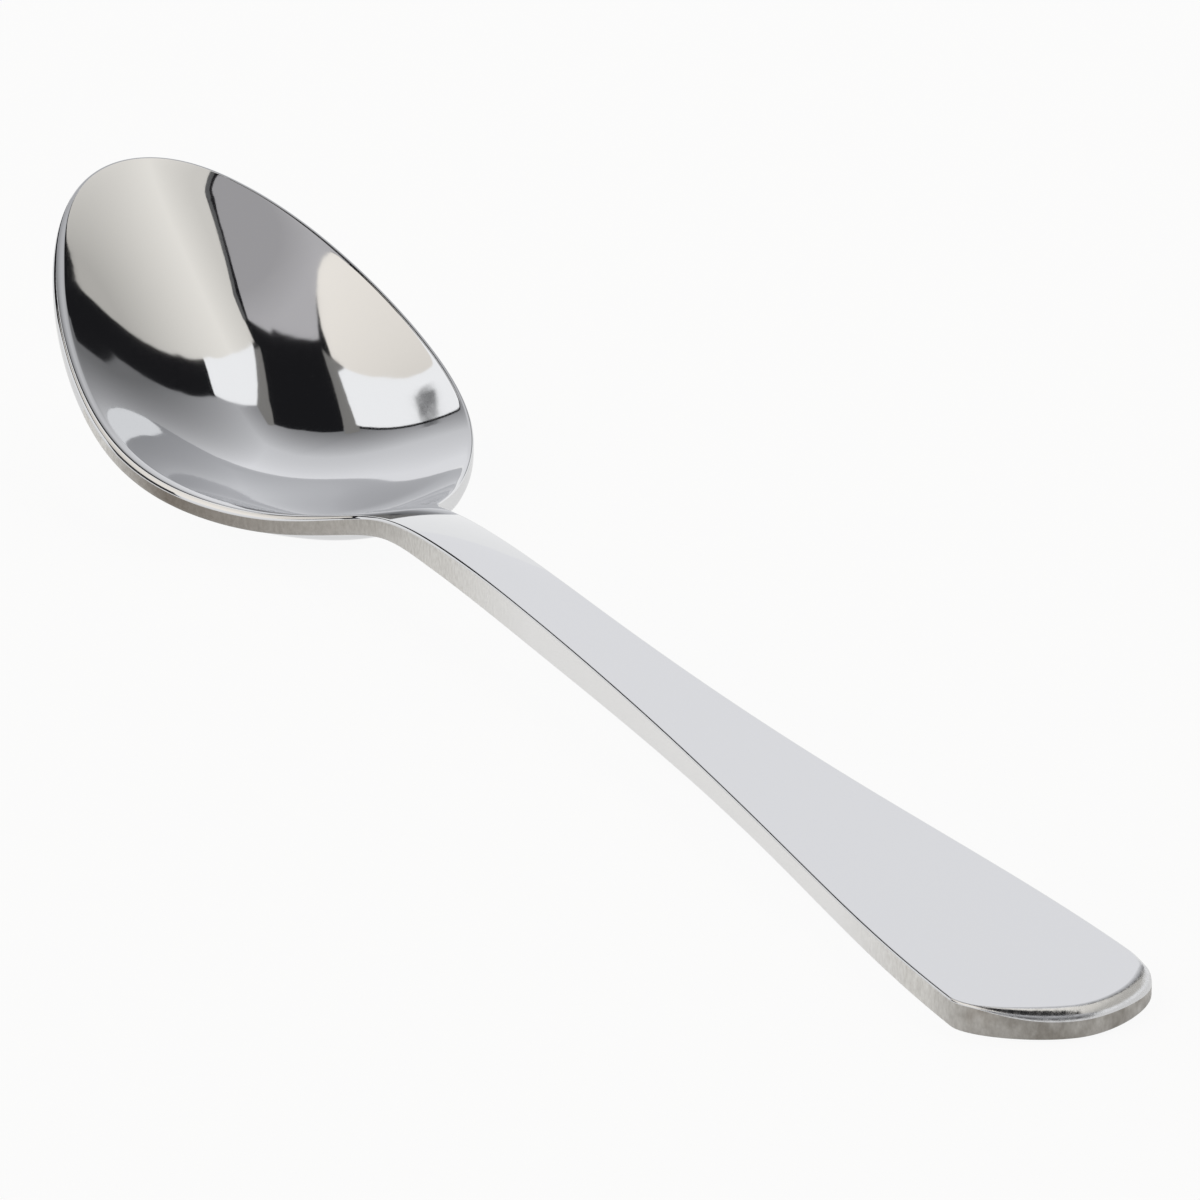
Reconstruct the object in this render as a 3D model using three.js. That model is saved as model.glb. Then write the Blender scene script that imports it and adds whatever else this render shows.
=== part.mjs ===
// Teaspoon pressed from one strip of stainless steel, lying at rest on a table.
// Millimetres. +X runs from the bowl's tip to the handle's end, +Y across, +Z up.
// The origin is on the table, under the middle of the spoon's length.
// The blank is divided where its section changes: bowl, neck and handle meet on flat faces.
import * as THREE from 'three';
import { mergeVertices } from 'three/addons/utils/BufferGeometryUtils.js';

// Plan sizes, along the spoon from the bowl's tip and across it
const BOWL_WIDTH = 27;
const TIP_TO_WIDEST = 25.4;
const WIDEST_TO_NECK = 34.8;
const NECK_LENGTH = 4.1;
const NECK_WIDTH = 4.55;
const FLARE_LENGTH = 72.05;
const HANDLE_END_WIDTH = 12.35;
const END_ROUND_LENGTH = 4.15;

// Heel: where the bowl's outline turns into the neck, and how fast the blank narrows there
const WIDEST_TO_HEEL = 20.9;
const HEEL_WIDTH = 7.52;
const HEEL_TAPER = -0.659;

// Fullness of the outline's curves: how far each curve holds its end direction
const TIP_FULLNESS = 0.656;
const FRONT_FULLNESS = 0.349;
const REAR_FULLNESS = 0.383;
const HEEL_ARRIVE_FULLNESS = 0.53;
const HEEL_LEAVE_FULLNESS = 0.157;
const NECK_FULLNESS = 0.813;
const FLARE_START_FULLNESS = 0.568;
const FLARE_END_FULLNESS = 0.2515;
const END_SIDE_FULLNESS = 0.425;
const END_FACE_FULLNESS = 0.405;

// Heights of the upper edge above the table, with the places that carry them
const TIP_HEIGHT = 18.55;
const TIP_SLOPE = -0.477;
const FRONT_RIM_FROM_TIP = 12;
const FRONT_RIM_HEIGHT = 13;
const RIM_HEIGHT = 7.2;
const HEEL_BEHIND_WIDEST = 15.6;
const HEEL_HEIGHT = 3.46;
const RISE_BEHIND_WIDEST = 24.6;
const RISE_HEIGHT = 4.99;
const CREST_BEHIND_WIDEST = 32.6;
const CREST_HEIGHT = 5.58;
const STEM_PAST_NECK = 8.7;
const STEM_HEIGHT = 5.07;
const FLAT_TOP_LENGTH = 30.5;
const FLAT_TOP_HEIGHT = 3.1;

// Heights of the bowl's floor on its centre line, with their places before and behind the widest point
const FRONT_FLOOR_BEFORE_WIDEST = 15.4;
const FRONT_FLOOR_HEIGHT = 11.15;
const SLOPE_FLOOR_BEFORE_WIDEST = 5.4;
const SLOPE_FLOOR_HEIGHT = 4.33;
const LOW_FLOOR_BEHIND_WIDEST = 3.6;
const LOW_FLOOR_HEIGHT = 1.5;
const REAR_FLOOR_BEHIND_WIDEST = 12.6;
const REAR_FLOOR_HEIGHT = 1.7;
const HEEL_FLOOR_BEHIND_WIDEST = 19.6;
const HEEL_FLOOR_HEIGHT = 2.66;
const RISE_FLOOR_HEIGHT = 4.55;

// The hollow of the bowl runs out towards the heel between these two places
const HOLLOW_FADE_BEHIND_WIDEST = 11.6;
const HOLLOW_END_BEHIND_WIDEST = 21.1;

// Metal
const SECTION_FULLNESS = 0.2;
const BOWL_WALL = 1.35;
const RIM_LAND = 0.6;
const RIM_THICKNESS = 0.8;
const NECK_THICKNESS = 2;
const STEM_THICKNESS = 1.5;
const HANDLE_END_THICKNESS = 1.75;
const EDGE_BREAK = 0.15;
const END_SHOULDER = 0.55;
const UNDER_ROUND = 0.5;

// Share of the curve behind the heel that belongs to the bowl: the neck has the rest
const BOWL_PART_OF_HEEL = 0.68;

// Facets along each stretch of the outline, and across the spoon
const FRONT_STEPS = 14;
const REAR_STEPS = 13;
const HEEL_STEPS = 7;
const NECK_STEPS = 4;
const FLARE_STEPS = 14;
const END_STEPS = 8;
const BOWL_ACROSS = 14;
const HANDLE_ACROSS = 6;

// Stations along the spoon that follow from the sizes above
const WIDEST_X = TIP_TO_WIDEST;
const NECK_X = WIDEST_X + WIDEST_TO_NECK;
const HANDLE_X = NECK_X + NECK_LENGTH;
const END_ROUND_X = HANDLE_X + FLARE_LENGTH;
const LENGTH = END_ROUND_X + END_ROUND_LENGTH;
const HEEL_X = WIDEST_X + HEEL_BEHIND_WIDEST;
const HEEL_CORNER_X = WIDEST_X + WIDEST_TO_HEEL;
const HEEL_TO_NECK = NECK_X - HEEL_CORNER_X;
const HOLLOW_FADE_X = WIDEST_X + HOLLOW_FADE_BEHIND_WIDEST;
const HOLLOW_END_X = WIDEST_X + HOLLOW_END_BEHIND_WIDEST;
const RISE_X = WIDEST_X + RISE_BEHIND_WIDEST;
const CREST_X = WIDEST_X + CREST_BEHIND_WIDEST;
const STEM_X = HANDLE_X + STEM_PAST_NECK;
const FLAT_TOP_X = LENGTH - FLAT_TOP_LENGTH;

const point = (x, y) => new THREE.Vector2(x, y);

const polishedSteel = new THREE.MeshStandardMaterial({ color: 0xd8d7d4, roughness: 0.12, metalness: 1 });

// Smooth curve through the knots [x, value], with its direction given at both ends
function curveThrough(knots, startSlope, endSlope) {
  const last = knots.length - 1;
  const gap = (i) => knots[i + 1][0] - knots[i][0];
  const rise = (i) => (knots[i + 1][1] - knots[i][1]) / gap(i);
  const slopes = [startSlope];
  const factors = [0];
  for (let i = 1; i < last; i += 1) {
    const weight = 2 * (1 / gap(i - 1) + 1 / gap(i)) - factors[i - 1] / gap(i - 1);
    const pull = 3 * (rise(i - 1) / gap(i - 1) + rise(i) / gap(i));
    factors[i] = 1 / gap(i) / weight;
    slopes[i] = (pull - slopes[i - 1] / gap(i - 1)) / weight;
  }
  slopes[last] = endSlope;
  for (let i = last - 1; i > 0; i -= 1) {
    slopes[i] -= factors[i] * slopes[i + 1];
  }
  return (x) => {
    if (x >= knots[last][0]) {
      return knots[last][1] + endSlope * (x - knots[last][0]);
    }
    let i = 0;
    while (i < last - 1 && x > knots[i + 1][0]) {
      i += 1;
    }
    const t = (x - knots[i][0]) / gap(i);
    const turn = slopes[i] * gap(i) * t * (1 - t) ** 2 - slopes[i + 1] * gap(i) * t * t * (1 - t);
    return knots[i][1] + (knots[i + 1][1] - knots[i][1]) * t * t * (3 - 2 * t) + turn;
  };
}

// Straight handle end: its top is flat, and its underside lies on the table
const FLAT_TOP_SLOPE = (HANDLE_END_THICKNESS - FLAT_TOP_HEIGHT) / FLAT_TOP_LENGTH;

const edgeHeight = curveThrough([
  [0, TIP_HEIGHT],
  [FRONT_RIM_FROM_TIP, FRONT_RIM_HEIGHT],
  [WIDEST_X, RIM_HEIGHT],
  [HEEL_X, HEEL_HEIGHT],
  [RISE_X, RISE_HEIGHT],
  [CREST_X, CREST_HEIGHT],
  [STEM_X, STEM_HEIGHT],
  [FLAT_TOP_X, FLAT_TOP_HEIGHT],
], TIP_SLOPE, FLAT_TOP_SLOPE);

// The floor leaves the rim at the tip and joins the neck's top at the crest
const tipFloorSlope = (FRONT_FLOOR_HEIGHT - TIP_HEIGHT) / (WIDEST_X - FRONT_FLOOR_BEFORE_WIDEST);
const floorHeight = curveThrough([
  [RIM_LAND, edgeHeight(RIM_LAND)],
  [WIDEST_X - FRONT_FLOOR_BEFORE_WIDEST, FRONT_FLOOR_HEIGHT],
  [WIDEST_X - SLOPE_FLOOR_BEFORE_WIDEST, SLOPE_FLOOR_HEIGHT],
  [WIDEST_X + LOW_FLOOR_BEHIND_WIDEST, LOW_FLOOR_HEIGHT],
  [WIDEST_X + REAR_FLOOR_BEHIND_WIDEST, REAR_FLOOR_HEIGHT],
  [WIDEST_X + HEEL_FLOOR_BEHIND_WIDEST, HEEL_FLOOR_HEIGHT],
  [RISE_X, RISE_FLOOR_HEIGHT],
  [CREST_X, CREST_HEIGHT],
], tipFloorSlope, 0);

// Drop of the top face below its edges at a place across the spoon, from -1 to 1
function dish(x, place) {
  if (x >= HOLLOW_END_X) {
    return 0;
  }
  const fade = Math.max(x - HOLLOW_FADE_X, 0) / (HOLLOW_END_X - HOLLOW_FADE_X);
  const depth = (edgeHeight(x) - floorHeight(x)) * (1 - fade ** 2);
  return depth * (1 - place ** 2) * (1 - SECTION_FULLNESS * place ** 2);
}

const stemThickness = curveThrough([
  [HEEL_X, BOWL_WALL],
  [CREST_X, NECK_THICKNESS],
  [FLAT_TOP_X, STEM_THICKNESS],
  [LENGTH, HANDLE_END_THICKNESS],
], 0, 0);

// Half outline of the blank, seen from above, as one curve for each stretch
function bezier(from, fromDirection, toDirection, to) {
  const leave = from.clone().add(fromDirection);
  const arrive = to.clone().sub(toDirection);
  return new THREE.CubicBezierCurve(from, leave, arrive, to);
}

const tip = point(0, 0);
const widest = point(WIDEST_X, BOWL_WIDTH / 2);
const heel = point(HEEL_CORNER_X, HEEL_WIDTH / 2);
const neckStart = point(NECK_X, NECK_WIDTH / 2);
const handleStart = point(HANDLE_X, NECK_WIDTH / 2);
const endCorner = point(END_ROUND_X, HANDLE_END_WIDTH / 2);
const end = point(LENGTH, 0);

const frontOutline = bezier(
  tip,
  point(0, TIP_FULLNESS * BOWL_WIDTH / 2),
  point(FRONT_FULLNESS * TIP_TO_WIDEST, 0),
  widest,
);
const alongTaper = (length) => point(1, HEEL_TAPER).setLength(length);
const rearOutline = bezier(
  widest,
  point(REAR_FULLNESS * WIDEST_TO_HEEL, 0),
  alongTaper(HEEL_ARRIVE_FULLNESS * WIDEST_TO_HEEL),
  heel,
);
const heelOutline = bezier(
  heel,
  alongTaper(HEEL_LEAVE_FULLNESS * HEEL_TO_NECK),
  point(NECK_FULLNESS * HEEL_TO_NECK, 0),
  neckStart,
);
const neckOutline = new THREE.LineCurve(neckStart, handleStart);
const flareOutline = bezier(
  handleStart,
  point(FLARE_START_FULLNESS * FLARE_LENGTH, 0),
  point(FLARE_END_FULLNESS * FLARE_LENGTH, 0),
  endCorner,
);
const endOutline = bezier(
  endCorner,
  point(END_SIDE_FULLNESS * END_ROUND_LENGTH, 0),
  point(0, -END_FACE_FULLNESS * HANDLE_END_WIDTH / 2),
  end,
);

// How much of the bowl's form is left at a station: 1 in the bowl, 0 from the crest on
const bowlShare = (x) => 1 - THREE.MathUtils.smoothstep(x, HEEL_X, CREST_X);

// Width of the band between the top face and the outer edge: rim land, edge break or end shoulder
function bandWidth(x) {
  const endShare = THREE.MathUtils.smoothstep(x, END_ROUND_X, LENGTH);
  const side = THREE.MathUtils.lerp(EDGE_BREAK, END_SHOULDER, endShare);
  return THREE.MathUtils.lerp(side, RIM_LAND, bowlShare(x));
}

// Rows of one piece: outer points of the half outline with their outward direction in plan
function rowsAlong(stretches) {
  const rows = [];
  stretches.forEach(({ curve, from = 0, to = 1, steps }, index) => {
    for (let i = index === 0 ? 0 : 1; i <= steps; i += 1) {
      const t = from + (to - from) * i / steps;
      const place = curve.getPoint(t);
      const ahead = curve.getTangent(t);
      rows.push({ x: place.x, halfWidth: place.y, outX: -ahead.y, outY: ahead.x });
    }
  });
  return rows;
}

// A row where two pieces meet lies in one plane across the spoon
const squared = (row) => ({ ...row, outX: 0, outY: 1 });

// Points of one row across the spoon, between two edges set in from the outer outline
function acrossPoints(row, inset, across, height) {
  const x = row.x - row.outX * inset;
  const halfWidth = Math.max(row.halfWidth - row.outY * inset, 0);
  return Array.from({ length: across + 1 }, (_, j) => {
    const share = 2 * j / across - 1;
    return [x, share * halfWidth, height(x, share)];
  });
}

// Top of one row: outer edge, dished or flat face, outer edge
function topRow(row, across) {
  const band = bandWidth(row.x);
  const share = bowlShare(row.x);
  const edge = edgeHeight(row.x) - band * (1 - share);
  const face = acrossPoints(row, band, across, (x, place) => edgeHeight(x) - dish(x, place));
  return [[row.x, -row.halfWidth, edge], ...face, [row.x, row.halfWidth, edge]];
}

// Underside of one row, below the same outer edges
function underRow(row, across) {
  const share = bowlShare(row.x);
  const thickness = stemThickness(Math.max(row.x, HEEL_X));
  const side = THREE.MathUtils.lerp(thickness - UNDER_ROUND, RIM_THICKNESS, share);
  const edge = edgeHeight(row.x) - side;
  const face = acrossPoints(row, UNDER_ROUND, across, (x, place) => {
    const wall = THREE.MathUtils.lerp(side + UNDER_ROUND, thickness, 1 - place ** 2);
    return edgeHeight(x) - dish(x, place) - wall;
  });
  return [[row.x, -row.halfWidth, edge], ...face, [row.x, row.halfWidth, edge]];
}

// One body from loose corners: equal corners become one, and faces that shrink to a line drop out
function closedGeometry(corners) {
  const loose = new THREE.BufferGeometry();
  loose.setAttribute('position', new THREE.Float32BufferAttribute(corners.flat(), 3));
  const merged = mergeVertices(loose);
  const index = merged.getIndex();
  const kept = [];
  for (let i = 0; i < index.count; i += 3) {
    const triangle = [index.getX(i), index.getX(i + 1), index.getX(i + 2)];
    if (new Set(triangle).size === 3) {
      kept.push(...triangle);
    }
  }
  merged.setIndex(kept);
  merged.computeVertexNormals();
  return merged;
}

// Closed solid between the tops and undersides of its rows
function solid(name, rows, across) {
  const tops = rows.map((row) => topRow(row, across));
  const unders = rows.map((row) => underRow(row, across));
  const corners = [];
  const face = (a, b, c, d) => corners.push(a, b, c, a, c, d);
  const lastRow = rows.length - 1;
  const lastPoint = across + 2;
  for (let i = 0; i < lastRow; i += 1) {
    for (let j = 0; j < lastPoint; j += 1) {
      face(tops[i][j], tops[i + 1][j], tops[i + 1][j + 1], tops[i][j + 1]);
      face(unders[i][j], unders[i][j + 1], unders[i + 1][j + 1], unders[i + 1][j]);
    }
    face(unders[i][0], unders[i + 1][0], tops[i + 1][0], tops[i][0]);
    face(tops[i][lastPoint], tops[i + 1][lastPoint], unders[i + 1][lastPoint], unders[i][lastPoint]);
  }
  // Flat end faces, where the piece doesn't run out to a round end
  for (let j = 0; j < lastPoint; j += 1) {
    if (rows[0].halfWidth > 0) {
      face(unders[0][j], tops[0][j], tops[0][j + 1], unders[0][j + 1]);
    }
    if (rows[lastRow].halfWidth > 0) {
      face(tops[lastRow][j], unders[lastRow][j], unders[lastRow][j + 1], tops[lastRow][j + 1]);
    }
  }
  const mesh = new THREE.Mesh(closedGeometry(corners), polishedSteel);
  mesh.name = name;
  return mesh;
}

const bowlRows = rowsAlong([
  { curve: frontOutline, steps: FRONT_STEPS },
  { curve: rearOutline, steps: REAR_STEPS },
  { curve: heelOutline, to: BOWL_PART_OF_HEEL, steps: HEEL_STEPS },
]);
bowlRows.push(squared(bowlRows.pop()));

const neckRows = rowsAlong([
  { curve: heelOutline, from: BOWL_PART_OF_HEEL, steps: NECK_STEPS },
  { curve: neckOutline, steps: NECK_STEPS },
]);
neckRows.unshift(squared(neckRows.shift()));

const handleRows = rowsAlong([
  { curve: flareOutline, steps: FLARE_STEPS },
  { curve: endOutline, steps: END_STEPS },
]);

const spoon = new THREE.Group();
spoon.add(solid('bowl', bowlRows, BOWL_ACROSS));
spoon.add(solid('neck', neckRows, BOWL_ACROSS));
spoon.add(solid('handle', handleRows, HANDLE_ACROSS));

// The spoon's lowest point touches the table
const box = new THREE.Box3().setFromObject(spoon);
spoon.position.set(-LENGTH / 2, 0, -box.min.z);

export default spoon;
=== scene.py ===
"""Teaspoon of polished stainless steel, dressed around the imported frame.

Blender works in metres here. Sizes of the spoon are written in millimetres, as on its drawing.
X runs from the bowl's tip to the handle's end, Y across the spoon, Z up from the table.
"""
import math

import bmesh
import bpy
import numpy as np
from mathutils import Matrix, Vector


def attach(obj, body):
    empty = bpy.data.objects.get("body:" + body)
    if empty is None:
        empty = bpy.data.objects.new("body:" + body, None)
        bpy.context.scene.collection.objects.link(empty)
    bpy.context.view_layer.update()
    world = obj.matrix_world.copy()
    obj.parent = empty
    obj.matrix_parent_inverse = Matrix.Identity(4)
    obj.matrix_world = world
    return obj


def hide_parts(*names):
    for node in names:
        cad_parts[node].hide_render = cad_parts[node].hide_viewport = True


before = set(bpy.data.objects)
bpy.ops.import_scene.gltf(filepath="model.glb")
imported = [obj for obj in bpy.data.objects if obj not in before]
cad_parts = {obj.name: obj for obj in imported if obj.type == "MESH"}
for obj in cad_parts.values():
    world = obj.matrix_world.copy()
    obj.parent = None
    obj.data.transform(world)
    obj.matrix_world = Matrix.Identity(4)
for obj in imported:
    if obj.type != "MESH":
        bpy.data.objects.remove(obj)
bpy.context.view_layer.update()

MM = 0.001

# Plan sizes, along the spoon from the bowl's tip and across it
BOWL_WIDTH = 27.0
TIP_TO_WIDEST = 25.4
WIDEST_TO_NECK = 34.8
NECK_LENGTH = 4.1
NECK_WIDTH = 4.55
FLARE_LENGTH = 72.05
HANDLE_END_WIDTH = 12.35
END_ROUND_LENGTH = 4.15

# Heel: where the bowl's outline turns into the neck
WIDEST_TO_HEEL = 20.9
HEEL_WIDTH = 7.52
HEEL_TAPER = -0.659

# Fullness of the outline's curves: how far each curve holds its end direction
TIP_FULLNESS = 0.656
FRONT_FULLNESS = 0.349
REAR_FULLNESS = 0.383
HEEL_ARRIVE_FULLNESS = 0.53
HEEL_LEAVE_FULLNESS = 0.157
NECK_FULLNESS = 0.813
FLARE_START_FULLNESS = 0.568
FLARE_END_FULLNESS = 0.2515
END_SIDE_FULLNESS = 0.425
END_FACE_FULLNESS = 0.405

# Stations along the spoon
WIDEST_X = TIP_TO_WIDEST
NECK_X = WIDEST_X + WIDEST_TO_NECK
HANDLE_X = NECK_X + NECK_LENGTH
END_ROUND_X = HANDLE_X + FLARE_LENGTH
LENGTH = END_ROUND_X + END_ROUND_LENGTH
HEEL_X = WIDEST_X + 15.6
HEEL_CORNER_X = WIDEST_X + WIDEST_TO_HEEL
DISH_FADE_X = WIDEST_X + 11.6
DISH_END_X = WIDEST_X + 21.1
LAND_END_X = WIDEST_X + 24.1
CROWN_X = HEEL_CORNER_X - 1
RISE_X = WIDEST_X + 24.6
CREST_X = WIDEST_X + 32.6
STEM_X = HANDLE_X + 8.7
FLAT_TOP_X = LENGTH - 30.5

# Stations where the finish of the blank's side and edges changes, and where painted shade on the side
# starts and ends
LEFT_CUT_X = WIDEST_X - 2
# Painted shade on the cut side beside the bowl: where it starts and where it is darkest
BOWL_SHADE_X = LEFT_CUT_X + 4
DARKEST_BOWL_SHADE_X = LEFT_CUT_X + 11
BRIGHT_SIDE_X = HANDLE_X - 4
BRIGHTEST_SIDE_X = HANDLE_X + 10
DULLING_SIDE_X = LENGTH - 19
DULL_SIDE_X = LENGTH - 9
# Painted shade over the handle's end: where it starts and where it is darkest
END_SHADE_X = LENGTH - 7
DARKEST_END_SHADE_X = LENGTH - 1
WEAR_X = END_ROUND_X - 3
FULL_WEAR_X = END_ROUND_X + 1
RIGHT_CUT_SHARE = 0.6

# Heights of the upper edge above the table
TIP_HEIGHT = 18.55
TIP_SLOPE = -0.477
FRONT_RIM_X, FRONT_RIM_HEIGHT = 12.0, 13.0
RIM_HEIGHT = 7.2
HEEL_HEIGHT = 3.46
RISE_HEIGHT = 4.99
CREST_HEIGHT = 5.58
STEM_HEIGHT = 5.07
FLAT_TOP_HEIGHT = 3.1
HANDLE_END_THICKNESS = 1.75
FLAT_TOP_SLOPE = (HANDLE_END_THICKNESS - FLAT_TOP_HEIGHT) / (LENGTH - FLAT_TOP_X)

# Heights of the bowl's floor on its centre line
TIP_FLOOR_SLOPE = -0.95
FLOOR_LINE = [
    (5, 14.4),
    (10, 10.62),
    (15, 7.3),
    (20, 4.48),
    (25, 2.38),
    (29, 1.57),
    (33, 1.42),
    (38, 1.54),
    (45, 2.55),
    (50, 4.26),
    (54, 5.34),
]

# Metal
SECTION_FULLNESS = 0.225
BOWL_WALL = 1.35
RIM_FLAT = 0.42
RIM_OUTER_ROUND = 0.42
RIM_INNER_ROUND = 0.008
RIM_THICKNESS = 0.95
TIP_RIM_SHARE = 0.2
TIP_RIM_LENGTH = 11
TIP_LAND = (RIM_FLAT + RIM_OUTER_ROUND) * TIP_RIM_SHARE
RIGHT_RIM_SHARE = 0.4
NECK_THICKNESS = 2.0
STEM_THICKNESS = 1.5
NECK_CROWN = 0.18
NECK_EDGE_BREAK = 0.24
EDGE_BREAK = 0.15
END_SHOULDER = 0.67
RIGHT_CORNER_SHOULDER = 0.85
RIGHT_SHOULDER_X = END_ROUND_X - 2
RIGHT_CORNER_X = END_ROUND_X + 1.5
LEFT_SHOULDER_X = END_ROUND_X + 1.2
UNDER_ROUND = 0.5
STEM_UNDER_ROUND = 0.3

# The mesh is lowered by this much, so that the spoon rests on the table
TABLE_SHIFT = 0.02

# Fineness of the mesh: rows along each stretch, and points round one section
FRONT_ROWS, REAR_ROWS, HEEL_ROWS, NECK_ROWS, FLARE_ROWS, END_ROWS = 70, 66, 50, 10, 110, 44
TIP_GATHER = 1.8
ACROSS = 56
ROUND_POINTS = 6
SIDE_POINTS = 3
LAND_PARTS = (1, 0.9, 0.2)


def smoothstep(x, start, end):
    t = np.clip((x - start) / (end - start), 0, 1)
    return t * t * (3 - 2 * t)


def curve_through(knots, start_slope, end_slope):
    """Smooth curve through the knots (x, value), with its direction given at both ends."""
    xs, values = np.array(knots, float).T
    gap = np.diff(xs)
    rise = np.diff(values) / gap
    count = len(xs)
    system, pull = np.eye(count), np.zeros(count)
    pull[0], pull[-1] = start_slope, end_slope
    for i in range(1, count - 1):
        system[i, i - 1 : i + 2] = 1 / gap[i - 1], 2 / gap[i - 1] + 2 / gap[i], 1 / gap[i]
        pull[i] = 3 * (rise[i - 1] / gap[i - 1] + rise[i] / gap[i])
    slopes = np.linalg.solve(system, pull)

    def value(x):
        x = np.asarray(x, float)
        i = np.clip(np.searchsorted(xs, x) - 1, 0, count - 2)
        t = np.clip((x - xs[i]) / gap[i], 0, 1)
        turn = gap[i] * (slopes[i] * t * (1 - t) ** 2 - slopes[i + 1] * t * t * (1 - t))
        inside = values[i] + (values[i + 1] - values[i]) * t * t * (3 - 2 * t) + turn
        return inside + np.maximum(x - xs[-1], 0) * end_slope

    return value


edge_height = curve_through(
    [
        (0, TIP_HEIGHT),
        (FRONT_RIM_X, FRONT_RIM_HEIGHT),
        (WIDEST_X, RIM_HEIGHT),
        (HEEL_X, HEEL_HEIGHT),
        (RISE_X, RISE_HEIGHT),
        (CREST_X, CREST_HEIGHT),
        (STEM_X, STEM_HEIGHT),
        (FLAT_TOP_X, FLAT_TOP_HEIGHT),
    ],
    TIP_SLOPE,
    FLAT_TOP_SLOPE,
)

floor_height = curve_through(
    [(TIP_LAND, edge_height(TIP_LAND)), *FLOOR_LINE, (CREST_X, CREST_HEIGHT)],
    TIP_FLOOR_SLOPE,
    0,
)

stem_thickness = curve_through(
    [
        (HEEL_X, BOWL_WALL),
        (CREST_X, NECK_THICKNESS),
        (FLAT_TOP_X, STEM_THICKNESS),
        (LENGTH, HANDLE_END_THICKNESS),
    ],
    0,
    0,
)


def rim_share(x, right=False):
    """The rim is thinner at the tip than along the sides, and polished thinner on the right."""
    side_share = TIP_RIM_SHARE + (1 - TIP_RIM_SHARE) * smoothstep(x, 0, TIP_RIM_LENGTH)
    return min(side_share, RIGHT_RIM_SHARE) if right else side_share


def bowl_share(x):
    """How much of the bowl's form is left at a station: 1 in the bowl, 0 from the crest on."""
    return 1 - smoothstep(x, HEEL_X, CREST_X)


def land_share(x):
    """How much of the rim's flat land is left: it runs out at the heel."""
    return 1 - smoothstep(x, HEEL_X, LAND_END_X)


def bezier(start, lead, arrive, end, rows, gather=1.0):
    """Points of one stretch of the half outline, with their outward directions in plan."""
    t = np.linspace(0, 1, rows + 1)[:, None] ** gather
    p0, p3 = np.array(start, float), np.array(end, float)
    p1, p2 = p0 + lead, p3 - np.array(arrive, float)
    points = (1 - t) ** 3 * p0 + 3 * (1 - t) ** 2 * t * p1 + 3 * (1 - t) * t**2 * p2 + t**3 * p3
    ahead = (1 - t) ** 2 * (p1 - p0) + 2 * (1 - t) * t * (p2 - p1) + t**2 * (p3 - p2)
    ahead /= np.linalg.norm(ahead, axis=1)[:, None]
    return np.hstack([points, -ahead[:, 1:], ahead[:, :1]])


def blank_outline():
    """Half outline of the blank from the tip to the handle's end: x, half width, outward x and y."""
    tip, widest = (0, 0), (WIDEST_X, BOWL_WIDTH / 2)
    neck, handle = (NECK_X, NECK_WIDTH / 2), (HANDLE_X, NECK_WIDTH / 2)
    corner, end = (END_ROUND_X, HANDLE_END_WIDTH / 2), (LENGTH, 0)
    heel = (HEEL_CORNER_X, HEEL_WIDTH / 2)
    taper = np.array([1, HEEL_TAPER]) / math.hypot(1, HEEL_TAPER)
    third = (NECK_LENGTH / 3, 0)
    stretches = [
        bezier(
            tip,
            (0, TIP_FULLNESS * BOWL_WIDTH / 2),
            (FRONT_FULLNESS * TIP_TO_WIDEST, 0),
            widest,
            FRONT_ROWS,
            TIP_GATHER,
        ),
        bezier(
            widest,
            (REAR_FULLNESS * WIDEST_TO_HEEL, 0),
            taper * HEEL_ARRIVE_FULLNESS * WIDEST_TO_HEEL,
            heel,
            REAR_ROWS,
        ),
        bezier(
            heel,
            taper * HEEL_LEAVE_FULLNESS * (NECK_X - HEEL_CORNER_X),
            (NECK_FULLNESS * (NECK_X - HEEL_CORNER_X), 0),
            neck,
            HEEL_ROWS,
        ),
        bezier(neck, third, third, handle, NECK_ROWS),
        bezier(
            handle,
            (FLARE_START_FULLNESS * FLARE_LENGTH, 0),
            (FLARE_END_FULLNESS * FLARE_LENGTH, 0),
            corner,
            FLARE_ROWS,
        ),
        bezier(
            corner,
            (END_SIDE_FULLNESS * END_ROUND_LENGTH, 0),
            (0, -END_FACE_FULLNESS * HANDLE_END_WIDTH / 2),
            end,
            END_ROWS,
        ),
    ]
    return np.vstack([stretches[0]] + [rows[1:] for rows in stretches[1:]])


def dish(x, place):
    """Drop of the top face below its edges, at a place across the spoon from -1 to 1.
    The bowl is hollow, and the neck is a little crowned."""
    depth = edge_height(x) - floor_height(x)
    depth *= 1 - np.clip((x - DISH_FADE_X) / (DISH_END_X - DISH_FADE_X), 0, 1) ** 2
    height = 1 - place**2
    soft = (height + np.sqrt(height**2 + RIM_INNER_ROUND**2)) / 2
    risen = smoothstep(x, CROWN_X, RISE_X)
    crown = NECK_CROWN * risen * (1 - smoothstep(x, CREST_X, STEM_X))
    return depth * soft * (1 - SECTION_FULLNESS * place**2) - crown * height


def upper_round(x, right):
    """Size of the round at the blank's upper edge.
    The polished shoulder at the handle's end is fuller on the right."""
    if right:
        corner = smoothstep(x, RIGHT_SHOULDER_X, RIGHT_CORNER_X)
        end = smoothstep(x, RIGHT_CORNER_X, LENGTH)
        size = EDGE_BREAK + (RIGHT_CORNER_SHOULDER - EDGE_BREAK) * corner
        size += (END_SHOULDER - RIGHT_CORNER_SHOULDER) * end
    else:
        end = smoothstep(x, LEFT_SHOULDER_X, LENGTH)
        size = EDGE_BREAK + (END_SHOULDER - EDGE_BREAK) * end
    size += (NECK_EDGE_BREAK - EDGE_BREAK) * (1 - smoothstep(x, CREST_X, STEM_X))
    return size + (RIM_OUTER_ROUND * rim_share(x, right) - size) * land_share(x)


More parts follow.
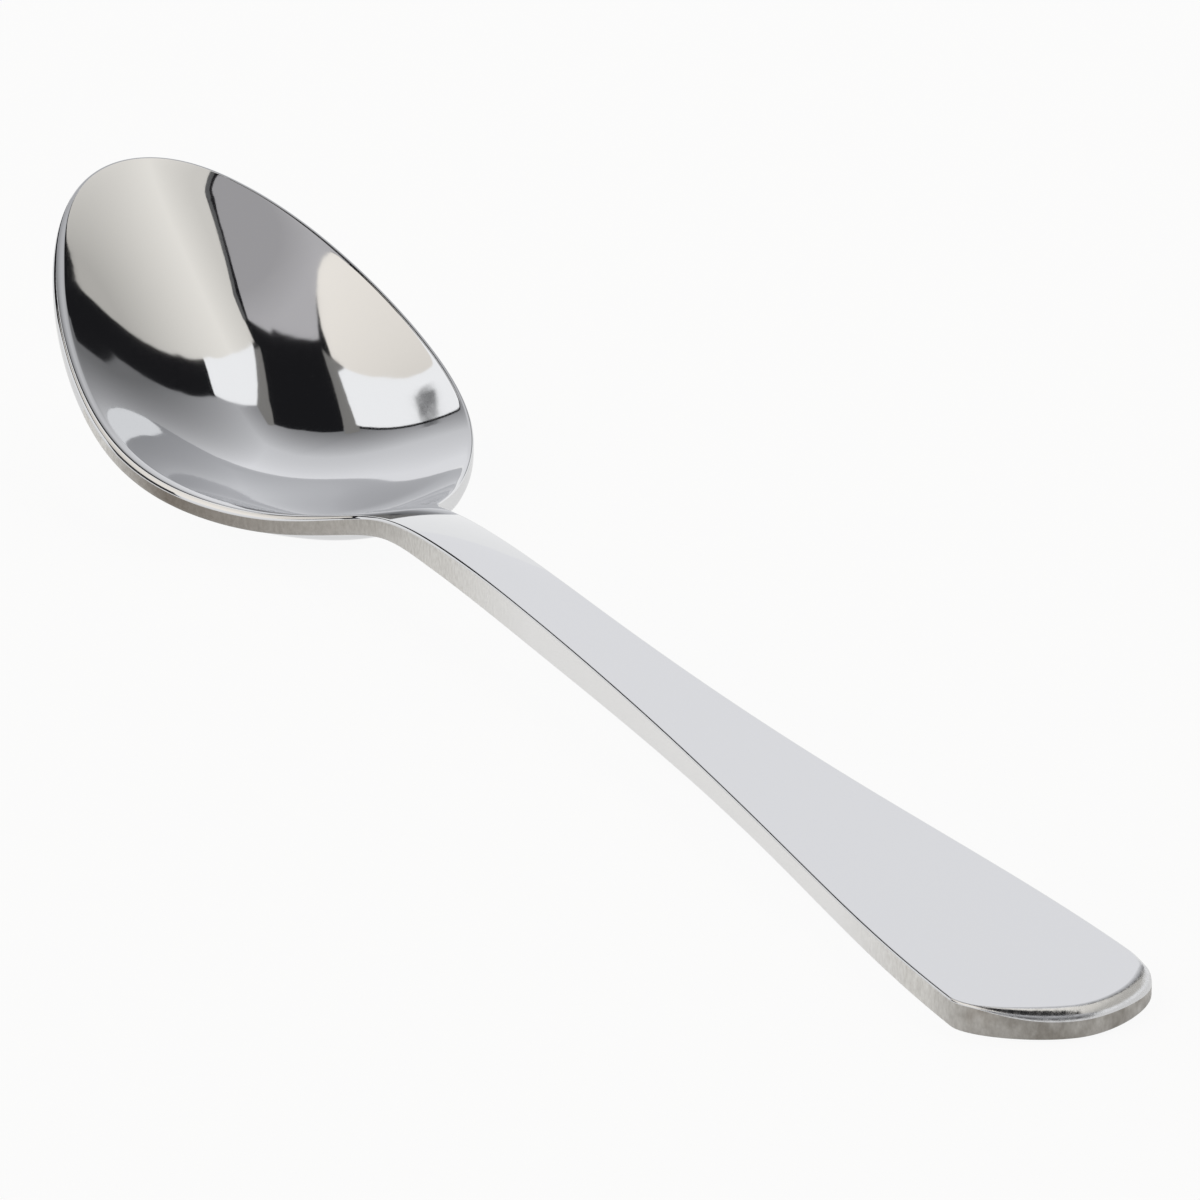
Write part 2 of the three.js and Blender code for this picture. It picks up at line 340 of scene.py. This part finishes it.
def section_loop(x, half_width, out_x, out_y):
    """Closed loop of points round the spoon at one row of the outline, from the top's left edge."""
    share = bowl_share(x)
    thickness = float(stem_thickness(max(x, HEEL_X)))
    under_round = STEM_UNDER_ROUND + (UNDER_ROUND - STEM_UNDER_ROUND) * share
    side = thickness - under_round
    side += (RIM_THICKNESS * (0.5 + rim_share(x) / 2) - side) * share

    def inset(distance):
        return x - out_x * distance, np.maximum(half_width - out_y * distance, 0)

    quarter = np.linspace(0, math.pi / 2, ROUND_POINTS)

    def edge_points(right):
        """Rim land, rounded upper edge, side and rounded lower edge, from the top face down."""
        edge_round = upper_round(x, right)
        land = RIM_FLAT * rim_share(x, right) * land_share(x)
        points = []
        for part in LAND_PARTS:
            px, py = inset(edge_round + land * part)
            points.append((px, py, edge_height(px)))
        for angle in quarter:
            px, py = inset(edge_round * (1 - math.sin(angle)))
            points.append((px, py, edge_height(px) - edge_round * (1 - math.cos(angle))))
        high, low = edge_height(x) - edge_round, edge_height(x) - side
        for step in np.linspace(0, 1, SIDE_POINTS + 1)[1:]:
            points.append((x, half_width, high + (low - high) * step))
        for angle in quarter[1:]:
            px, py = inset(under_round * (1 - math.cos(angle)))
            points.append((px, py, edge_height(px) - side - under_round * math.sin(angle)))
        return points

    right_edge, left_edge = edge_points(True), edge_points(False)
    place = np.sin(np.linspace(-1, 1, ACROSS + 1) * math.pi / 2)
    top = []
    for p in place:
        px = left_edge[0][0] * (1 - p) / 2 + right_edge[0][0] * (1 + p) / 2
        py = -left_edge[0][1] * (1 - p) / 2 + right_edge[0][1] * (1 + p) / 2
        top.append((px, py, edge_height(px) - dish(px, p)))
    under = []
    under_x, under_half = inset(under_round)
    for p in place[::-1]:
        wall = (side + under_round) * p**2 + thickness * (1 - p**2)
        under.append((under_x, p * under_half, edge_height(under_x) - dish(under_x, p) - wall))
    # The edge's first and last points are corners of the top face and of the underside
    right = right_edge[1:-1]
    left = [(px, -py, pz) for px, py, pz in left_edge[1:-1][::-1]]
    return np.array(top + right + under + left, float)


def teaspoon_mesh():
    """One closed mesh of the pressed blank, with its sheared side and its worn edge marked."""
    rows = blank_outline()
    share = bowl_share(rows[:, 0])
    loops = np.array([section_loop(*row) for row in rows])
    count = loops.shape[1]
    loops[..., 0] -= LENGTH / 2
    loops[..., 2] -= TABLE_SHIFT
    mesh = bmesh.new()
    sheared = mesh.faces.layers.int.new("sheared")
    wear_and_shade = mesh.verts.layers.float.new("wear_and_shade")
    grid = [[mesh.verts.new(p * MM) for p in loop] for loop in loops]
    # The rounded upper edge is worn at the handle's end
    wear = smoothstep(rows[:, 0], WEAR_X, FULL_WEAR_X)
    for line, amount in zip(grid, wear):
        for j in range(ACROSS + 4, ACROSS + 3 + ROUND_POINTS):
            line[j][wear_and_shade] = line[count + ACROSS - j][wear_and_shade] = amount
    # Strips of the loop that are the blank's cut side: on the right, then on the left
    first_side = ACROSS + 1 + 2 + ROUND_POINTS - 1
    right_side = set(range(first_side, first_side + SIDE_POINTS + ROUND_POINTS - 1))
    left_side = {count - 1 + ACROSS - j for j in right_side}
    for i in range(len(grid) - 1):
        for j in range(count):
            k = (j + 1) % count
            face = mesh.faces.new([grid[i][j], grid[i + 1][j], grid[i + 1][k], grid[i][k]])
            face.smooth = True
            left_cut = j in left_side and rows[i, 0] > LEFT_CUT_X
            right_cut = j in right_side and share[i] < RIGHT_CUT_SHARE
            face[sheared] = int(left_cut or right_cut)
    bmesh.ops.remove_doubles(mesh, verts=mesh.verts, dist=1e-7)
    bmesh.ops.dissolve_degenerate(mesh, edges=mesh.edges, dist=1e-8)
    bmesh.ops.recalc_face_normals(mesh, faces=mesh.faces)
    data = bpy.data.meshes.new("teaspoon")
    mesh.to_mesh(data)
    mesh.free()
    return data


def at_station(x):
    """Place along the spoon in the scene, in metres from its middle."""
    return (x - LENGTH / 2) * MM


def linear(code):
    """Linear colour of an sRGB hex code."""
    parts = [int(code[i : i + 2], 16) / 255 for i in (0, 2, 4)]
    return (*(c / 12.92 if c <= 0.04045 else ((c + 0.055) / 1.055) ** 2.4 for c in parts), 1)


def add(tree, kind, links=None, **settings):
    """Adds a node with its settings. A link's value is a socket to join or a constant to set."""
    node = tree.nodes.new(kind)
    for key, value in settings.items():
        setattr(node, key, value)
    for socket, value in (links or {}).items():
        if isinstance(value, bpy.types.NodeSocket):
            tree.links.new(value, node.inputs[socket])
        else:
            node.inputs[socket].default_value = value
    return node


def new_material(name):
    material = bpy.data.materials.new(name)
    material.use_nodes = True
    material.node_tree.nodes.clear()
    return material, material.node_tree


def polished_stainless_steel():
    """Mirror polish: sharp reflections, a cool grey tint, faint buffing haze and a nicked end."""
    material, tree = new_material("polished_stainless_steel")
    place = add(tree, "ShaderNodeTexCoord").outputs["Object"]
    # Buffing haze: patches about 6 mm across where the polish is a little less keen
    haze = add(tree, "ShaderNodeTexNoise", {"Vector": place, "Scale": 1 / (6 * MM), "Detail": 3.0})
    rough = add(
        tree,
        "ShaderNodeMapRange",
        {
            "Value": haze.outputs["Fac"],
            "From Min": 0.3,
            "From Max": 0.7,
            "To Min": 0.03,
            "To Max": 0.05,
        },
    )
    # Worn edge: nicks and rubbing about 0.4 mm across take the mirror off the end's shoulder
    wear_and_shade = add(tree, "ShaderNodeAttribute", attribute_name="wear_and_shade").outputs["Fac"]
    nicks = add(tree, "ShaderNodeTexNoise", {"Vector": place, "Scale": 1 / (0.4 * MM), "Detail": 4.0})
    rubbed = add(tree, "ShaderNodeMath", {0: nicks.outputs["Fac"], 1: wear_and_shade}, operation="MULTIPLY")
    rough = add(
        tree,
        "ShaderNodeMath",
        {0: rubbed.outputs[0], 1: 0.4, 2: rough.outputs["Result"]},
        operation="MULTIPLY_ADD",
    )
    # Polishing ripple: 1.5 mm waves about a micrometre high, drawn as a faint bump
    ripple = add(tree, "ShaderNodeTexNoise", {"Vector": place, "Scale": 1 / (1.5 * MM), "Detail": 1.0})
    bump = add(
        tree,
        "ShaderNodeBump",
        {"Height": ripple.outputs["Fac"], "Strength": 0.012, "Distance": 0.1 * MM},
    )
    nicked = add(
        tree,
        "ShaderNodeBump",
        {
            "Height": rubbed.outputs[0],
            "Strength": 0.12,
            "Distance": 0.1 * MM,
            "Normal": bump.outputs["Normal"],
        },
    )
    steel = add(
        tree,
        "ShaderNodeBsdfPrincipled",
        {
            "Base Color": linear("D8D9DB"),
            "Metallic": 1.0,
            "Roughness": rough.outputs[0],
            "Normal": nicked.outputs["Normal"],
        },
    )
    add(tree, "ShaderNodeOutputMaterial", {"Surface": steel.outputs["BSDF"]})
    return material


def sheared_strip_edge():
    """Side of the strip as the press cut it: dull grey-beige and finely mottled, with upright shear
    lines and a few brown stains. Painted shade darkens it beside the bowl and over the handle's end."""
    material, tree = new_material("sheared_strip_edge")
    place = add(tree, "ShaderNodeTexCoord").outputs["Object"]
    # Shear lines: 0.25 mm apart, upright, so the pattern is stretched along Z
    squash = add(tree, "ShaderNodeMapping", {"Vector": place, "Scale": (1, 1, 0.5)})
    lines = add(
        tree,
        "ShaderNodeTexNoise",
        {
            "Vector": squash.outputs["Vector"],
            "Scale": 1 / (0.25 * MM),
            "Detail": 3.0,
            "Roughness": 0.65,
        },
    )
    grain = add(tree, "ShaderNodeValToRGB", {"Fac": lines.outputs["Fac"]})
    dull, bare = grain.color_ramp.elements
    dull.position, dull.color = 0.3, linear("D0CECA")
    bare.position, bare.color = 0.65, linear("E6E5E2")
    # Stains: brown spots about 4 mm apart
    stain = add(tree, "ShaderNodeTexNoise", {"Vector": place, "Scale": 1 / (4 * MM), "Detail": 3.0})
    spots = add(
        tree,
        "ShaderNodeMapRange",
        {
            "Value": stain.outputs["Fac"],
            "From Min": 0.6,
            "From Max": 0.72,
            "To Min": 0.0,
            "To Max": 0.55,
        },
    )
    tint = add(
        tree,
        "ShaderNodeMix",
        {0: spots.outputs["Result"], 6: grain.outputs["Color"], 7: linear("9A8B7C")},
        data_type="RGBA",
    )
    bump = add(
        tree,
        "ShaderNodeBump",
        {"Height": lines.outputs["Fac"], "Strength": 0.12, "Distance": 0.05 * MM},
    )
    # Painted shade: beside the bowl the cut is darkened, as in the shadow under the bowl, and the
    # shade fades toward the crest
    along = add(tree, "ShaderNodeSeparateXYZ", {"Vector": place})
    darker = add(
        tree,
        "ShaderNodeMapRange",
        {
            "Value": along.outputs["X"],
            "From Min": at_station(BOWL_SHADE_X),
            "From Max": at_station(DARKEST_BOWL_SHADE_X),
        },
    )
    bowl_shade_fade = add(
        tree,
        "ShaderNodeMapRange",
        {
            "Value": along.outputs["X"],
            "From Min": at_station(DARKEST_BOWL_SHADE_X),
            "From Max": at_station(CREST_X),
            "To Min": 0.9,
            "To Max": 0.0,
        },
    )
    bowl_shade = add(
        tree,
        "ShaderNodeMath",
        {0: darker.outputs["Result"], 1: bowl_shade_fade.outputs["Result"]},
        operation="MULTIPLY",
    )
    dark = add(
        tree,
        "ShaderNodeMix",
        {0: bowl_shade.outputs[0], 6: tint.outputs[2], 7: linear("8A8178")},
        data_type="RGBA",
        blend_type="MULTIPLY",
    )
    # Painted shade: the cut side is darkened in blotches over the handle's last few millimetres
    end_shade_ramp = add(
        tree,
        "ShaderNodeMapRange",
        {
            "Value": along.outputs["X"],
            "From Min": at_station(END_SHADE_X),
            "From Max": at_station(DARKEST_END_SHADE_X),
            "To Min": 0.0,
            "To Max": 0.85,
        },
    )
    blotch = add(tree, "ShaderNodeTexNoise", {"Vector": place, "Scale": 1 / (1.6 * MM), "Detail": 4.0})
    patchy = add(
        tree,
        "ShaderNodeMapRange",
        {
            "Value": blotch.outputs["Fac"],
            "From Min": 0.35,
            "From Max": 0.62,
            "To Min": 0.6,
            "To Max": 1.0,
        },
    )
    end_shade = add(
        tree,
        "ShaderNodeMath",
        {0: end_shade_ramp.outputs["Result"], 1: patchy.outputs["Result"]},
        operation="MULTIPLY",
    )
    # Painted shade over the handle's end, multiplied into the side's colour
    wear_and_shade = add(
        tree,
        "ShaderNodeMix",
        {0: end_shade.outputs[0], 6: dark.outputs[2], 7: linear("948F89")},
        data_type="RGBA",
        blend_type="MULTIPLY",
    )
    # Along the middle of the handle the cut is polished away
    start = add(
        tree,
        "ShaderNodeMapRange",
        {
            "Value": along.outputs["X"],
            "From Min": at_station(BRIGHT_SIDE_X),
            "From Max": at_station(BRIGHTEST_SIDE_X),
        },
    )
    stop = add(
        tree,
        "ShaderNodeMapRange",
        {
            "Value": along.outputs["X"],
            "From Min": at_station(DULLING_SIDE_X),
            "From Max": at_station(DULL_SIDE_X),
            "To Min": 1.0,
            "To Max": 0.0,
        },
    )
    polish = add(
        tree,
        "ShaderNodeMath",
        {0: start.outputs["Result"], 1: stop.outputs["Result"]},
        operation="MULTIPLY",
    )
    bright = add(
        tree,
        "ShaderNodeMix",
        {0: polish.outputs[0], 6: wear_and_shade.outputs[2], 7: linear("ECECEC")},
        data_type="RGBA",
    )
    rough = add(
        tree,
        "ShaderNodeMapRange",
        {"Value": polish.outputs[0], "To Min": 0.42, "To Max": 0.12},
    )
    steel = add(
        tree,
        "ShaderNodeBsdfPrincipled",
        {
            "Base Color": bright.outputs[2],
            "Metallic": 1.0,
            "Roughness": rough.outputs["Result"],
            "Normal": bump.outputs["Normal"],
        },
    )
    add(tree, "ShaderNodeOutputMaterial", {"Surface": steel.outputs["BSDF"]})
    return material


def link(name, data):
    thing = bpy.data.objects.new(name, data)
    bpy.context.scene.collection.objects.link(thing)
    return thing


def finished_blank_tree():
    """Finish of the pressed blank: faint waves from the polishing wheel, and its two surfaces."""
    tree = bpy.data.node_groups.new("finished_blank", "GeometryNodeTree")
    tree.interface.new_socket("Blank", in_out="OUTPUT", socket_type="NodeSocketGeometry")
    inputs = {
        "Blank": "NodeSocketGeometry",
        "Wave length": "NodeSocketFloat",
        "Wave height": "NodeSocketFloat",
        "Seed": "NodeSocketFloat",
        "Polished": "NodeSocketMaterial",
        "Sheared": "NodeSocketMaterial",
    }
    for name, kind in inputs.items():
        tree.interface.new_socket(name, in_out="INPUT", socket_type=kind)
    given = add(tree, "NodeGroupInput").outputs
    pitch = add(tree, "ShaderNodeMath", {0: 1.0, 1: given["Wave length"]}, operation="DIVIDE")
    waves = add(
        tree,
        "ShaderNodeTexNoise",
        {"W": given["Seed"], "Scale": pitch.outputs[0], "Detail": 0.0},
        noise_dimensions="4D",
    )
    swing = add(tree, "ShaderNodeMath", {0: waves.outputs[0], 1: 0.5}, operation="SUBTRACT")
    lift = add(
        tree,
        "ShaderNodeMath",
        {0: swing.outputs[0], 1: given["Wave height"]},
        operation="MULTIPLY",
    )
    outward = add(tree, "GeometryNodeInputNormal").outputs[0]
    shift = add(
        tree,
        "ShaderNodeVectorMath",
        {0: outward, "Scale": lift.outputs[0]},
        operation="SCALE",
    )
    buffed = add(
        tree,
        "GeometryNodeSetPosition",
        {"Geometry": given["Blank"], "Offset": shift.outputs[0]},
    )
    whole = add(tree, "GeometryNodeRealizeInstances", {"Geometry": buffed.outputs[0]})
    polished = add(
        tree,
        "GeometryNodeSetMaterial",
        {"Geometry": whole.outputs[0], "Material": given["Polished"]},
    )
    cut = add(tree, "GeometryNodeInputNamedAttribute", {"Name": "sheared"}, data_type="BOOLEAN")
    sheared = add(
        tree,
        "GeometryNodeSetMaterial",
        {
            "Geometry": polished.outputs[0],
            "Selection": cut.outputs["Attribute"],
            "Material": given["Sheared"],
        },
    )
    add(tree, "NodeGroupOutput", {"Blank": sheared.outputs[0]})
    return tree


def finished(blank, settings):
    """Runs the finish on a blank and leaves a plain mesh."""
    modifier = blank.modifiers.new("finish", "NODES")
    modifier.node_group = finished_blank_tree()
    for item in modifier.node_group.interface.items_tree:
        if item.in_out == "INPUT" and item.name in settings:
            modifier[item.identifier] = settings[item.name]
    ready = blank.evaluated_get(bpy.context.evaluated_depsgraph_get())
    plain = bpy.data.meshes.new_from_object(ready)
    blank.modifiers.remove(modifier)
    blank.data = plain


# Teaspoon
spoon = link("teaspoon", teaspoon_mesh())
finished(
    spoon,
    {
        "Wave length": 16 * MM,
        "Wave height": 0.006 * MM,
        "Seed": 4.0,
        "Polished": polished_stainless_steel(),
        "Sheared": sheared_strip_edge(),
    },
)
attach(spoon, "root")
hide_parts("bowl", "neck", "handle")

# Studio: a pale table, a white surround, and lights and dark cards on a rig over the spoon.
# Places on the rig are shares of its height, seen from the middle of the bowl.
RIG_HEIGHT = 0.6
RIG_STATION = 28
RIG_BASE = 4
RIG_CENTRE = Vector((at_station(RIG_STATION), 0, RIG_BASE * MM))
RIG_STEP = 0.003


def glow(name, colour, strength, *falls):
    """Lit cloth or dark card. A fall is (direction, start, end, strength at start, strength at end)
    along the panel, and the weakest one counts."""
    material, tree = new_material(name)
    light = add(tree, "ShaderNodeEmission", {"Color": linear(colour), "Strength": strength})
    place = add(tree, "ShaderNodeTexCoord").outputs["Object"]
    for way, start, end, first, last in falls:
        along = add(tree, "ShaderNodeVectorMath", {0: place, 1: way}, operation="DOT_PRODUCT")
        fall = add(
            tree,
            "ShaderNodeMapRange",
            {
                "Value": along.outputs["Value"],
                "From Min": start,
                "From Max": end,
                "To Min": first,
                "To Max": last,
            },
        )
        level = fall.outputs["Result"]
        if light.inputs["Strength"].is_linked:
            other = light.inputs["Strength"].links[0].from_socket
            level = add(tree, "ShaderNodeMath", {0: level, 1: other}, operation="MINIMUM").outputs[0]
        tree.links.new(level, light.inputs["Strength"])
    add(tree, "ShaderNodeOutputMaterial", {"Surface": light.outputs["Emission"]})
    return material


def panel(name, corners, material, place, size):
    """Flat lit or dark panel that the camera doesn't see."""
    data = bpy.data.meshes.new(name)
    data.from_pydata(corners, [], [list(range(len(corners)))])
    data.materials.append(material)
    thing = link(name, data)
    thing.location, thing.scale = place, (size, size, size)
    thing.visible_camera = False


black_cloth = glow("black_cloth", "1E1E20", 1.0)
far_lining = glow(
    "far_lining",
    "FAFAFC",
    1.0,
    ((-1, 1, 0), 0.45, 1.3, 0.15, 1.0),
    ((-1, 1, 0), 0.9, 2.4, 0.75, 1.05),
    ((1, 1, 0), 0.45, -0.45, 0.2, 1.05),
)
grey_lining = glow("grey_lining", "B5B3B4", 1.0, ((-1, 0, 0), 0.05, 0.12, 0.98, 1.28))
dark_seam = glow("dark_seam", "686868", 1.0)
stand_metal = glow("stand_metal", "8A8885", 1.0)
right_cloth = glow(
    "right_softbox_cloth",
    "FFFBF3",
    1.0,
    ((0, 1, 0), 0.2, 1.25, 1.12, 0.58),
    ((0, 1, 0), 0.06, 0.3, 0.84, 1.1),
)
left_cloth = glow("left_softbox_cloth", "FFF9F0", 1.0, ((-1, 0, 0), 0.1, 0.6, 1.18, 0.86))
white_diffuser = glow("white_diffuser", "FFFFFF", 1.18)

# From the highest layer down, so that a later panel hides an earlier one
RIG = [
    ("rig_cover", black_cloth, [(-1.5, -2.5), (2.5, -2.5), (2.5, 2.5), (-1.5, 2.5)]),
    (
        "rig_far_lining",
        far_lining,
        [
            (-0.4, 0.6),
            (-0.44, 0.68),
            (-0.64, 1.0),
            (-0.83, 1.27),
            (-1.07, 1.6),
            (-1.28, 1.76),
            (-2.0, 2.6),
            (-2.6, 2.6),
            (-2.6, -0.08),
            (-1.05, -0.12),
            (-0.9, -0.16),
            (-0.6, -0.1),
            (-0.3, 0.2),
        ],
    ),
    (
        "rig_grey_lining",
        grey_lining,
        [(-0.1, 0.05), (0.05, -0.03), (0.2, -0.03), (0.2, -0.36), (-0.13, -0.29), (-0.2, -0.225)],
    ),
    (
        "rig_right_diffuser",
        white_diffuser,
        [(-0.2, 0.5), (-0.1, 0.1), (-0.15, 0.1), (-0.325, 0.3), (-0.405, 0.62)],
    ),
    (
        "rig_right_softbox",
        right_cloth,
        [
            (-0.14, 0.08),
            (-0.18, 0.27),
            (-0.25, 0.49),
            (-0.39, 0.79),
            (-0.54, 1.045),
            (-0.77, 1.41),
            (-1.1, 1.9),
            (-1.1, 4),
            (2, 4),
            (2, 0.8),
            (0.2, 0.2),
            (0.14, 0.0),
            (0.08, 0.005),
            (0.03, 0.01),
            (-0.05, 0.065),
        ],
    ),
    (
        "rig_seam",
        dark_seam,
        [
            (-0.1, 0.08),
            (-0.05, 0.068),
            (0.03, 0.01),
            (0.05, 0.0),
            (0.03, -0.01),
            (-0.05, 0.045),
            (-0.1, 0.06),
        ],
    ),
    (
        "rig_black_cloth",
        black_cloth,
        [
            (-0.14, 0.09),
            (-0.13, -0.06),
            (-0.17, -0.156),
            (-0.2, -0.22),
            (-0.59, -0.05),
            (-0.47, 0.11),
            (-0.41, 0.265),
            (-0.42, 0.3),
            (-0.29, 0.25),
        ],
    ),
    (
        "rig_right_stand",
        stand_metal,
        [(-0.155, 0.105), (-0.15, 0.06), (-0.29, 0.19), (-0.42, 0.27), (-0.42, 0.31), (-0.325, 0.3)],
    ),
    (
        "rig_left_stand",
        stand_metal,
        [(-0.22, -0.215), (-0.305, -0.25), (-0.66, -0.09), (-0.62, -0.04)],
    ),
    (
        "rig_far_flag",
        black_cloth,
        [
            (-0.86, -0.17),
            (-0.9, -0.16),
            (-1.05, -0.12),
            (-1.5, -0.08),
            (-2.8, -0.03),
            (-2.8, -1.4),
            (-1.4, -0.9),
            (-0.56, -0.31),
        ],
    ),
    (
        "rig_left_diffuser",
        white_diffuser,
        [(-0.29, -0.22), (-0.3, -0.3), (-0.525, -0.36), (-0.86, -0.17), (-0.584, -0.114)],
    ),
    (
        "rig_slat",
        black_cloth,
        [(-0.53, -0.305), (-0.6, -0.272), (-0.93, -0.132), (-0.93, -0.138), (-0.6, -0.277)],
    ),
    (
        "rig_left_softbox",
        left_cloth,
        [
            (-0.13, -0.285),
            (-0.19, -0.25),
            (-0.25, -0.23),
            (-0.3, -0.25),
            (-0.41, -0.307),
            (-0.52, -0.33),
            (-1.1, -0.5),
            (-1.1, -3),
            (2, -3),
            (2, -1.2),
            (0.2, -0.5),
            (0.2, -0.36),
        ],
    ),
]
for layer, (panel_name, cloth, corners) in enumerate(RIG):
    depth = 1 - RIG_STEP * layer
    hung = [(x * depth, y * depth, depth) for x, y in corners]
    panel(panel_name, hung, cloth, RIG_CENTRE, RIG_HEIGHT)

# Dim room behind the camera and a dark card on the left, seen in the handle's end and the rim
card = glow("grey_card", "3A3A3C", 1.0)
room = glow("dim_room", "F4F4F6", 1.0, ((0, 0, 1), 0.08, 0.6, 0.1, 0.8))
panel(
    "left_card",
    [(-0.45, -0.6, 0), (-0.1, -0.7, 0), (-0.1, -0.7, 0.3), (-0.45, -0.6, 0.3)],
    card,
    (0, 0, 0),
    1,
)
panel(
    "dim_room",
    [(0.9, -1.3, 0), (0.9, 0.7, 0), (0.9, 0.7, 0.75), (0.9, -1.3, 0.75)],
    room,
    (0, 0, 0),
    1,
)

# Table: how white it shows itself to the camera and to the polished steel
TABLE_SEEN, TABLE_MIRRORED = 0.92, 0.62
TABLE_REACH = 3.0
TABLE_DROP = 0.05 * MM


def pale_table():
    """Matt white table. It shows itself as white, and keeps a part of the spoon's shadow."""
    material, tree = new_material("pale_table")
    path = add(tree, "ShaderNodeLightPath")
    seen = add(
        tree,
        "ShaderNodeMath",
        {0: path.outputs["Is Camera Ray"], 1: TABLE_SEEN},
        operation="MULTIPLY",
    )
    mirrored = add(
        tree,
        "ShaderNodeMath",
        {0: path.outputs["Is Glossy Ray"], 1: path.outputs["Is Transmission Ray"]},
        operation="MAXIMUM",
    )
    share = add(
        tree,
        "ShaderNodeMath",
        {0: mirrored.outputs[0], 1: TABLE_MIRRORED, 2: seen.outputs[0]},
        operation="MULTIPLY_ADD",
    )
    matt = add(tree, "ShaderNodeBsdfDiffuse", {"Color": linear("FAFAFA")})
    white = add(tree, "ShaderNodeEmission", {"Strength": 1.0})
    mix = add(
        tree,
        "ShaderNodeMixShader",
        {0: share.outputs[0], 1: matt.outputs["BSDF"], 2: white.outputs["Emission"]},
    )
    add(tree, "ShaderNodeOutputMaterial", {"Surface": mix.outputs["Shader"]})
    return material


table_corners = ((-1, -1), (1, -1), (1, 1), (-1, 1))
table_mesh = bpy.data.meshes.new("table")
table_mesh.from_pydata(
    [(sx * TABLE_REACH, sy * TABLE_REACH, -TABLE_DROP) for sx, sy in table_corners],
    [],
    [(0, 1, 2, 3)],
)
table_mesh.materials.append(pale_table())
link("table", table_mesh)

world = bpy.data.worlds.new("white_surround")
world.use_nodes = True
world.node_tree.nodes["Background"].inputs["Color"].default_value = linear("FFFFFF")
world.node_tree.nodes["Background"].inputs["Strength"].default_value = 1.0
bpy.context.scene.world = world
bpy.context.scene.view_settings.view_transform = "Standard"
# A mirror-bright bowl throws light from wall to wall many times before it leaves
bpy.context.scene.cycles.max_bounces = 24
bpy.context.scene.cycles.glossy_bounces = 24

# Camera: it stands off the handle's end, to the left, and looks down a little
CAMERA_AIM = Vector((-0.25, 0, 10)) * MM
CAMERA_AZIMUTH, CAMERA_ELEVATION, CAMERA_DISTANCE = -24.6215, 16.6847, 379.87 * MM
CAMERA_PAN, CAMERA_TILT = -0.6223, 0.7794
CAMERA_LENS, CAMERA_SENSOR = 180, 36


def direction(azimuth, elevation):
    a, e = math.radians(azimuth), math.radians(elevation)
    return Vector((math.cos(e) * math.cos(a), math.cos(e) * math.sin(a), math.sin(e)))


camera_data = bpy.data.cameras.new("camera")
camera_data.lens, camera_data.sensor_width = CAMERA_LENS, CAMERA_SENSOR
camera_data.clip_start, camera_data.clip_end = 0.01, 20
camera = link("camera", camera_data)
back = direction(CAMERA_AZIMUTH + CAMERA_PAN, CAMERA_ELEVATION + CAMERA_TILT)
across = Vector((0, 0, 1)).cross(back).normalized()
turn = Matrix((across, back.cross(across), back)).transposed().to_4x4()
spot = CAMERA_AIM + direction(CAMERA_AZIMUTH, CAMERA_ELEVATION) * CAMERA_DISTANCE
camera.matrix_world = Matrix.Translation(spot) @ turn
bpy.context.scene.camera = camera
